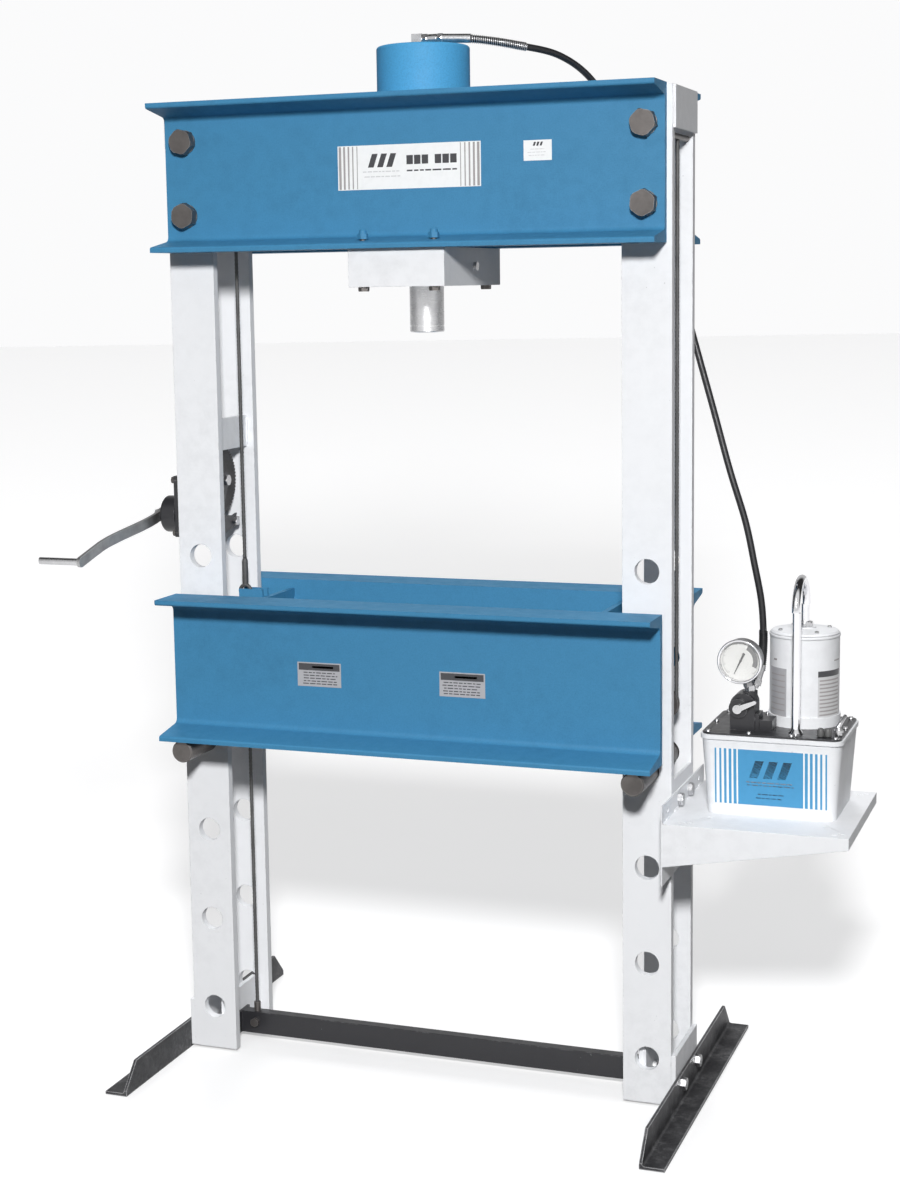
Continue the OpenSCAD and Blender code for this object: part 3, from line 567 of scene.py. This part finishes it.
def ropes():
    """The hoist rope over the top sheave, and the rope that keeps the bed level."""
    sheave = middle("top_sheave")
    down_low, down_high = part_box("hoist_rope_down")
    down_x = (down_low.x + down_high.x) / 2
    rope_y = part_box("hoist_rope_up")[1].y - ROPE_R
    r = down_x - sheave.x
    over = arc(Vector((sheave.x, 0, sheave.z)), -RIGHT, UP, r, 180)
    start = Vector((sheave.x - r, rope_y, middle("drum_gear").z))
    rope_piece("hoist_rope_winch_side", [start] + over, "hoist_rope_up", "frame")
    bed = ("frame", "bed")
    top = Vector((down_x, 0, down_high.z))
    bottom = Vector((down_x, 0, down_low.z))
    rope_piece("hoist_rope_bed_side", [top, bottom], "hoist_rope_down", span=(*bed, top, bottom))
    for node in ("level_rope_left", "level_rope_right"):
        low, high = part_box(node)
        mid = (low + high) / 2
        a = Vector((mid.x, mid.y, low.z))
        b = Vector((mid.x, mid.y, high.z))
        fixed, moving = (a, b) if node == "level_rope_left" else (b, a)
        rope_piece(node + "_lay", [fixed, moving], node, span=(*bed, fixed, moving))
    left = middle("bed_sheave_left")
    radius = left.x - (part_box("level_rope_bed")[0].x + ROPE_R)
    path = arc(left, -RIGHT, UP, radius, 90) + arc(middle("bed_sheave_right"), -UP, RIGHT, radius, 90)
    rope_piece("level_rope_across_bed", path, "level_rope_bed", "bed")


def coil_spring():
    """The return spring as one coil, in the place of the CAD spring."""
    low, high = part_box("return_spring")
    wire, turns, steps = 0.006, 9, 28
    radius = (high.x - low.x) / 2 - wire
    path = []
    for k in range(turns * steps + 1):
        a = 2 * math.pi * k / steps
        z = low.z + wire + (high.z - low.z - 2 * wire) * k / (turns * steps)
        path.append(Vector((radius * math.cos(a), radius * math.sin(a), z)))
    bm = bmesh.new()
    tube(bm, path, lambda f, a: wire, 12)
    spring = finish_piece("coil_spring", bm, "bright_steel", "frame")
    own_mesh(spring)
    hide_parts("return_spring")


# ---------------------------------------------------------------- labels

FILM = 0.0004


def label(name, body, origin, v, size, fields, look="label_white"):
    """A printed plate that rises along v. fields are (u0, u1, v0, v1, look, lean), from its lower left."""
    looks = [look]
    for f in fields:
        if f[4] not in looks:
            looks.append(f[4])
    out = RIGHT.cross(v)
    bm = bmesh.new()

    def sheet(u0, u1, v0, v1, base, thick, index, lean=0.0):
        made = block(bm, (u0, v0, base), (u1, v1, base + thick), index)
        for w in made:
            w.co = origin + RIGHT * (w.co.x + lean * (w.co.y - v0)) + v * w.co.y + out * w.co.z

    sheet(0, size[0], 0, size[1], 0.00005, FILM, 0)
    for f in fields:
        sheet(*f[:4], FILM, FILM * 0.4, looks.index(f[4]), *f[5:])
    return finish_piece(name, bm, looks, body, smooth=False)


def rules(u0, u1, rows, thick, ink, ragged, seed):
    """Rows of short bars that stand in for small print, with no letters."""
    rng = random.Random(seed)
    out = []
    for v in rows:
        u = u0 + rng.uniform(0, ragged)
        end = u1 - rng.uniform(0, ragged)
        while u < end - thick:
            w = rng.uniform(2.5, 6.5) * thick
            out.append((u, min(u + w, end), v, v + thick, ink))
            u += w + thick * 1.1
    return out


def slashes(u, v, width, height, ink):
    """Three leaning bars, a mark that stands for nothing."""
    lean = 0.35
    bar, pitch = width * 0.20, (width - height * lean - width * 0.20) / 2
    return [(u + i * pitch, u + i * pitch + bar, v, v + height, ink, lean) for i in range(3)]


def blocks(u0, u1, v0, v1, ink, counts):
    """Solid blocks in groups, in the place of large print."""
    cells = sum(counts) + 0.7 * (len(counts) - 1)
    pitch = (u1 - u0) / cells
    out, u = [], u0
    for n in counts:
        for _ in range(n):
            out.append((u, u + pitch * 0.84, v0, v1, ink))
            u += pitch
        u += 0.7 * pitch
    return out


def labels():
    """The plates, with bars and blocks in the place of print."""
    web_y, bed_y = -0.112, -0.146
    w, h = 0.3082, 0.0885
    margin, pitch = 0.0025, 0.0098
    bottom, top = 0.0015, h - 0.0015
    widths = (0.0052, 0.0042, 0.0034, 0.0026, 0.0018)
    fields = [(margin + i * pitch, margin + i * pitch + width, bottom, top, "label_grey")
              for i, width in enumerate(widths)]
    fields += [(w - margin - i * pitch - width, w - margin - i * pitch, bottom, top, "label_grey")
               for i, width in enumerate(widths)]
    fields += slashes(0.066, 0.044, 0.062, 0.027, "label_dark")
    fields += rules(0.054, 0.138, (0.0345, 0.0245), 0.0020, "label_pale", 0.004, 3)
    fields += blocks(0.150, 0.260, 0.048, 0.066, "label_dark", (3, 3))
    fields += rules(0.150, 0.258, (0.0340,), 0.0030, "label_dark", 0.002, 4)
    label("head_label", "frame", Vector((-0.1475, web_y, 1.883)), UP, (w, h), fields)
    tag = slashes(0.019, 0.0285, 0.021, 0.0075, "label_dark")
    tag += rules(0.008, 0.050, (0.0215, 0.0155, 0.0095), 0.0013, "label_pale", 0.010, 5)
    label("head_tag", "frame", Vector((0.250, web_y, 1.929)), UP, (0.058, 0.0396), tag)
    size = (0.0995, 0.0515)
    for name, x, z, seed in (("bed_label_left", -0.2505, 0.8535, 6), ("bed_label_right", 0.069, 0.849, 7)):
        fields = [(0.003, 0.0965, 0.0345, 0.0490, "label_dark")]
        fields += [(0.034, 0.082, 0.0395, 0.0440, "label_pale")]
        rows = (0.0285, 0.0225, 0.0165, 0.0105, 0.0050)
        fields += rules(0.006, 0.094, rows, 0.0021, "label_dark", 0.010, seed)
        label(name, "bed", Vector((x, bed_y, z)), UP, size, fields, "label_silver")
    tank_label()
    motor_labels()


def tank_label():
    """Blue panel with stripes on the drafted front of the pump tank."""
    low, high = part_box("pump_tank")
    draft = math.atan2(0.010, 0.156)
    up = Vector((0, -math.sin(draft), math.cos(draft)))
    z0 = low.z + 0.024
    y0 = low.y + 0.003 + 0.010 - (z0 - low.z) * math.tan(draft)
    w, h = 0.226, 0.114
    x0 = (low.x + high.x) / 2 - w / 2 + 0.001
    panel = 0.130
    fields = [((w - panel) / 2, (w + panel) / 2, 0, h, "label_blue")]
    for side in (-1, 1):
        for i, width in enumerate((0.0060, 0.0055, 0.0050, 0.0042, 0.0034)):
            c = w / 2 + side * (panel / 2 + 0.0062 + i * 0.0098)
            fields.append((c - width / 2, c + width / 2, 0, h, "label_blue"))
    m = w / 2
    fields += slashes(m - 0.043, 0.056, 0.086, 0.036, "label_dark")
    fields += rules(m - 0.050, m + 0.050, (0.046, 0.040), 0.0022, "label_grey", 0.006, 8)
    fields += rules(m - 0.030, m + 0.030, (0.022, 0.014), 0.0020, "label_dark", 0.010, 9)
    label("tank_label", "frame", Vector((x0, y0 - 0.0006, z0)), up, (w, h), fields)


def motor_labels():
    """Two data plates that follow the round motor shell."""
    shell = middle("motor_shell")
    centre = Vector((shell.x, shell.y, 0))
    shell_r = 0.0700

    def wrap(name, a0, a1, z0, z1, fields, look):
        looks = [look] + sorted({f[4] for f in fields} - {look})
        bm = bmesh.new()

        def sheet(s0, s1, h0, h1, base, thick, index):
            n = max(2, round((s1 - s0) / 3))
            corners = ((base, h0), (base + thick, h0), (base + thick, h1), (base, h1))
            cols = []
            for k in range(n + 1):
                a = math.radians(s0 + (s1 - s0) * k / n)
                d = Vector((math.sin(a), -math.cos(a), 0))
                cols.append([bm.verts.new(centre + d * (shell_r + q) + UP * h) for q, h in corners])
            for a, b in zip(cols, cols[1:]):
                for i in range(4):
                    j = (i + 1) % 4
                    bm.faces.new((a[i], a[j], b[j], b[i])).material_index = index
            bm.faces.new(cols[0]).material_index = index
            bm.faces.new(list(reversed(cols[-1]))).material_index = index

        sheet(a0, a1, z0, z1, 0.00005, FILM, 0)
        for f in fields:
            sheet(f[0], f[1], f[2], f[3], FILM, FILM * 0.4, looks.index(f[4]))
        finish_piece(name, bm, looks, "frame")

    rows = [(-58, -24, 0.815 + i * 0.012, 0.815 + i * 0.012 + 0.0022, "label_grey") for i in range(8)]
    wrap("motor_plate_left", -62, -21, 0.806, 0.914, rows, "label_silver")
    rows = [(35, 80, 0.812 + i * 0.0078, 0.812 + i * 0.0078 + 0.0030, "label_grey") for i in range(11)]
    rows += [(32, 84, 0.899, 0.911, "label_dark")]
    wrap("motor_plate_right", 32, 84, 0.804, 0.911, rows, "label_pale")
    wrap("motor_mark_left", -50, -42, 0.9285, 0.9320, [], "label_grey")
    wrap("motor_mark_right", 66, 84, 0.9285, 0.9310, [], "label_grey")


# ---------------------------------------------------------------- pump fittings

def pump_details():
    """Cover plugs, the vent fitting, and the motor's rolled seam and cap screws."""
    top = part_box("pump_cover")[1].z
    bm = bmesh.new()
    plug = [(0, 0), (0.0065, 0), (0.0072, 0.002), (0.0072, 0.010), (0.0060, 0.015), (0.0050, 0.017),
            (0, 0.0172)]
    for x, y in ((0.838, -0.060), (0.852, -0.058)):
        lathe(bm, plug, Vector((x, y, top)), UP, 24)
    finish_piece("cover_plugs", bm, "grip_plastic", "frame")
    bm = bmesh.new()
    stem = [(0, 0), (0.0070, 0), (0.0070, 0.007), (0.0050, 0.008), (0.0050, 0.018), (0, 0.018)]
    vent_x, vent_y = 0.871, -0.046
    lathe(bm, stem, Vector((vent_x, vent_y, top)), UP, 24)
    prism(bm, 6, 0.0095, Vector((vent_x, vent_y, top + 0.008)), UP, 0.006)
    spout = [(0.868, -0.046, top + 0.014), (0.874, -0.040, top + 0.026), (0.881, -0.026, top + 0.038)]
    tube(bm, spline(spout, 6), lambda f, a: 0.0052 - 0.0015 * f, 14)
    finish_piece("vent_fitting", bm, "bright_steel", "frame")
    shell = middle("motor_shell")
    foot = Vector((shell.x, shell.y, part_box("motor_shell")[0].z))
    bm = bmesh.new()
    seam = [(0.0705, 0.180), (0.0713, 0.1815), (0.0716, 0.1838), (0.0710, 0.1860), (0.0697, 0.1868),
            (0.0693, 0.1835)]
    lathe(bm, seam + [seam[0]], foot, UP, 64)
    finish_piece("motor_crimp_ring", bm, "frame_white", "frame")
    bm = bmesh.new()
    screw = [(0, 0.0), (0.0045, 0.0), (0.0045, 0.0018), (0.0030, 0.0034), (0, 0.0036)]
    for a in (35, 125, 215, 305):
        d = Vector((math.cos(math.radians(a)), math.sin(math.radians(a)), 0))
        lathe(bm, screw, foot + UP * 0.193 + d * 0.054, UP, 20)
    finish_piece("motor_cap_screws", bm, "bright_steel", "frame")


def gauge_details():
    """The gauge's glass, bezel and dial print."""
    centre = middle("gauge_dial")
    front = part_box("gauge_dial")[0].y
    bm = bmesh.new()
    pane = [(0, 0), (0.0402, 0), (0.0402, 0.0016), (0, 0.0016)]
    lathe(bm, pane, Vector((centre.x, front - 0.0125, centre.z)), FRONT, 64)
    finish_piece("gauge_glass", bm, "glass", "frame").visible_shadow = False
    bm = bmesh.new()
    rim = [(0.0395, 0.0), (0.0442, 0.0), (0.0452, 0.0014), (0.0452, 0.0046), (0.0441, 0.0066),
           (0.0422, 0.0070), (0.0405, 0.0058), (0.0395, 0.0040)]
    lathe(bm, rim + [rim[0]], Vector((centre.x, front - 0.0075, centre.z)), FRONT, 72)
    finish_piece("gauge_bezel", bm, "chrome", "frame")
    dial_marks(centre, front)


def dial_marks(centre, front):
    """Ticks and a shaded sector printed on the dial."""
    bm = bmesh.new()

    def wedge(a0, a1, r0, r1, lift, index, steps):
        last = None
        for k in range(steps + 1):
            a = math.radians(a0 + (a1 - a0) * k / steps)
            d = RIGHT * math.sin(a) + UP * math.cos(a)
            inner = bm.verts.new(centre + d * r0)
            outer = bm.verts.new(centre + d * r1)
            inner.co.y = outer.co.y = front - lift
            if last:
                bm.faces.new((last[0], last[1], outer, inner)).material_index = index
            last = (inner, outer)

    wedge(26, 115, 0.0246, 0.0346, 0.00012, 1, 26)
    for i in range(55):
        a = -135 + 270 * i / 54
        long_tick = i % 6 == 0
        half = 0.55 if long_tick else 0.28
        wedge(a - half, a + half, 0.0315 if long_tick else 0.0338, 0.0362, 0.00020, 0, 1)
    wedge(-136, 136, 0.0364, 0.0368, 0.00016, 0, 68)
    finish_piece("dial_print", bm, ["label_dark", "sector_grey"], "frame", smooth=False)


# ---------------------------------------------------------------- welds

def weld_bead(bm, a, b, radius, seed):
    """A rippled fillet weld between two points."""
    a, b = Vector(a), Vector(b)
    rng = random.Random(seed)
    length = (b - a).length
    n = max(8, round(length / 0.0022))
    wobble = [rng.uniform(-1, 1) for _ in range(n + 1)]
    path = [a.lerp(b, k / n) for k in range(n + 1)]

    def radius_at(f, _):
        k = round(f * n)
        taper = min(1.0, min(f, 1 - f) * length / 0.006 + 0.35)
        return radius * taper * (1 + 0.10 * math.sin(k * 1.9) + 0.05 * wobble[k])

    tube(bm, path, radius_at, 10)


def welds():
    """Fillet welds at the shelf, the posts' ties, the bed's crossmembers and the cylinder."""
    shelf_low, shelf_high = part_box("shelf")
    x0 = shelf_low.x + 0.003
    bm = bmesh.new()
    for seed, y in ((10, shelf_low.y + 0.003), (12, shelf_high.y - 0.003)):
        weld_bead(bm, (x0, y, 0.548), (x0, y, 0.612), 0.003, seed)
    for i in range(5):
        y = shelf_low.y + 0.03 + i * 0.072
        weld_bead(bm, (x0, y, 0.6262), (x0, y + 0.034, 0.6262), 0.003, 20 + i)
    finish_piece("shelf_welds", bm, "frame_white", "frame")
    bm = bmesh.new()
    seed = 40
    mid_tie, foot_tie = (0.466, 1.346, 1.405), (0.481, 0.014, 0.112)
    for s in (-1, 1):
        for tie_x, z0, z1 in (mid_tie, foot_tie):
            for y in (-0.078, 0.078):
                for dx in (-0.0052, 0.0052):
                    seed += 1
                    inset = 0.0006 if y < 0 else -0.0006
                    x = s * tie_x + dx
                    weld_bead(bm, (x, y + inset, z0), (x, y + inset, z1), 0.003, seed)
        for y in (-0.093, 0.093):
            seed += 1
            x = s * 0.5463
            weld_bead(bm, (x, y, 1.990), (x, y, 2.060), 0.0026, seed)
    finish_piece("upright_welds", bm, "frame_white", "frame")
    bm = bmesh.new()
    for s in (-1, 1):
        for y in (-0.131, 0.131):
            for dx in (-0.0062, 0.0062):
                for k in range(4):
                    seed += 1
                    x, z = s * 0.384 + dx, 0.760 + k * 0.066
                    weld_bead(bm, (x, y, z), (x, y, z + 0.040), 0.0032, seed)
    finish_piece("bed_welds", bm, "beam_blue", "bed")
    barrel_low, barrel_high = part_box("cylinder_barrel")
    bm = bmesh.new()
    r = (barrel_high.x - barrel_low.x) / 2
    ring = [Vector((math.cos(2 * math.pi * k / 260), math.sin(2 * math.pi * k / 260), 0)) * (r + 0.0008)
            + UP * (barrel_low.z + 0.003) for k in range(261)]
    tube(bm, ring, lambda f, a: 0.0040 + 0.0005 * math.sin(f * 900), 10)
    finish_piece("barrel_weld", bm, "cylinder_blue", "frame")


pressure_hose()
ropes()
coil_spring()
labels()
pump_details()
gauge_details()
welds()


# ---------------------------------------------------------------- stage, light and camera

AMBIENT = 0.07
KEY_POWER = 44
TOP_POWER = 0.9
REAR_POWER = 1.5
CAMERA_AT = Vector((1.4802, -3.9780, 1.6932))
LAMP_HEIGHT = 2.95


def sun(name, azimuth, elevation, spread, power):
    """A soft distant lamp. Azimuth 0 is in front, 90 at the pump's side; angles in degrees."""
    light = bpy.data.lights.new(name, "SUN")
    light.angle = math.radians(spread)
    light.energy = power
    obj = bpy.data.objects.new(name, light)
    a, e = math.radians(azimuth), math.radians(elevation)
    back = Vector((math.sin(a) * math.cos(e), -math.cos(a) * math.cos(e), math.sin(e)))
    obj.rotation_mode = "QUATERNION"
    obj.rotation_quaternion = (-back).to_track_quat("-Z", "Y")
    obj.visible_glossy = False
    bpy.context.scene.collection.objects.link(obj)


def flash():
    """A lamp straight above the camera. Its light is the same at any distance, so both posts match."""
    light = bpy.data.lights.new("flash", "POINT")
    light.shadow_soft_size = 0.25
    light.energy = KEY_POWER
    light.use_nodes = True
    tree = light.node_tree
    emission = next(n for n in tree.nodes if n.type == "EMISSION")
    falloff = tree.nodes.new("ShaderNodeLightFalloff")
    falloff.inputs["Strength"].default_value = 1.0
    tree.links.new(falloff.outputs["Constant"], emission.inputs["Strength"])
    obj = bpy.data.objects.new("flash", light)
    obj.location = (CAMERA_AT.x, CAMERA_AT.y, LAMP_HEIGHT)
    bpy.context.scene.collection.objects.link(obj)


def studio():
    """A pale floor that fades away, a plain world that chrome sees as light and dark, and the lamps."""
    mesh = bpy.data.meshes.new("floor")
    bm = bmesh.new()
    size, drop = 60.0, 0.0004
    corners = ((-size, -size), (size, -size), (size, size), (-size, size))
    bm.faces.new([bm.verts.new((x, y, -drop)) for x, y in corners])
    bm.to_mesh(mesh)
    bm.free()
    floor = bpy.data.objects.new("floor", mesh)
    bpy.context.scene.collection.objects.link(floor)
    t = Tree("studio_floor")
    path = t.add("ShaderNodeLightPath")
    seen = t.math("MAXIMUM", path.outputs["Is Camera Ray"], path.outputs["Is Glossy Ray"])
    pale = t.mix(t.noise(2, 2), (0.61, 0.61, 0.613), (0.63, 0.63, 0.633))
    away = t.add("ShaderNodeVectorMath", operation="LENGTH")
    t.put(away.inputs[0], t.coords)
    glow = t.math("MULTIPLY", t.band(away.outputs["Value"], 2.0, 9.0, 0.36, 0.50), seen)
    mesh.materials.append(t.finish(t.mix(seen, (0.08, 0.08, 0.08), pale), 0.95, Specular_IOR_Level=0.0,
                                   Emission_Color=(1, 1, 1), Emission_Strength=glow))

    world = bpy.data.worlds.new("studio")
    bpy.context.scene.world = world
    world.use_nodes = True
    tree = world.node_tree
    path = tree.nodes.new("ShaderNodeLightPath")
    coords = tree.nodes.new("ShaderNodeTexCoord")
    dot = tree.nodes.new("ShaderNodeVectorMath")
    dot.operation = "DOT_PRODUCT"
    tree.links.new(coords.outputs["Generated"], dot.inputs[0])
    dot.inputs[1].default_value = (0.35, -0.94, 0.0)
    half = tree.nodes.new("ShaderNodeMath")
    half.operation = "MULTIPLY_ADD"
    half.inputs[1].default_value = 0.5
    half.inputs[2].default_value = 0.5
    tree.links.new(dot.outputs["Value"], half.inputs[0])
    ramp = tree.nodes.new("ShaderNodeValToRGB")
    tones = ((0.0, 0.55), (0.12, 0.55), (0.22, 0.03), (0.60, 0.03), (0.74, 0.85), (1.0, 0.72))
    while len(ramp.color_ramp.elements) < len(tones):
        ramp.color_ramp.elements.new(0.5)
    for element, (place, tone) in zip(ramp.color_ramp.elements, tones):
        element.position = place
        element.color = (tone, tone, tone, 1)
    tree.links.new(half.outputs[0], ramp.inputs["Fac"])
    soft = tree.nodes.new("ShaderNodeMix")
    soft.data_type = "RGBA"
    tree.links.new(path.outputs["Is Glossy Ray"], soft.inputs[0])
    soft.inputs[6].default_value = (AMBIENT, AMBIENT, AMBIENT * 1.05, 1)
    tree.links.new(ramp.outputs["Color"], soft.inputs[7])
    seen_world = tree.nodes.new("ShaderNodeMix")
    seen_world.data_type = "RGBA"
    tree.links.new(path.outputs["Is Camera Ray"], seen_world.inputs[0])
    tree.links.new(soft.outputs[2], seen_world.inputs[6])
    seen_world.inputs[7].default_value = (0.965, 0.965, 0.97, 1)
    tree.links.new(seen_world.outputs[2], tree.nodes["Background"].inputs[0])
    tree.nodes["Background"].inputs[1].default_value = 1.0

    flash()
    sun("top", 10, 86, 55.0, TOP_POWER)
    sun("rear", 202, 32, 25.0, REAR_POWER)


def photo_camera():
    """The camera's place and angles give the same view as the picture the press was built from."""
    yaw, pitch, roll = math.radians(20.473), math.radians(-8.089), math.radians(-0.894)
    right = Vector((math.cos(yaw), math.sin(yaw), 0))
    ahead = Vector((-math.sin(yaw), math.cos(yaw), 0))
    look = ahead * math.cos(pitch) + UP * math.sin(pitch)
    over = -ahead * math.sin(pitch) + UP * math.cos(pitch)
    cam_x = right * math.cos(roll) + over * math.sin(roll)
    cam_y = -right * math.sin(roll) + over * math.cos(roll)
    data = bpy.data.cameras.new("camera")
    data.sensor_width = 36
    data.lens = 60.48
    data.shift_x = 0.0176
    data.shift_y = -0.0253
    data.clip_end = 60
    cam = bpy.data.objects.new("camera", data)
    turn = Matrix((cam_x, cam_y, -look)).transposed().to_4x4()
    cam.matrix_world = Matrix.Translation(CAMERA_AT) @ turn
    bpy.context.scene.collection.objects.link(cam)
    bpy.context.scene.camera = cam


studio()
photo_camera()
bpy.context.scene.view_settings.view_transform = "Standard"

bpy.context.view_layer.update()
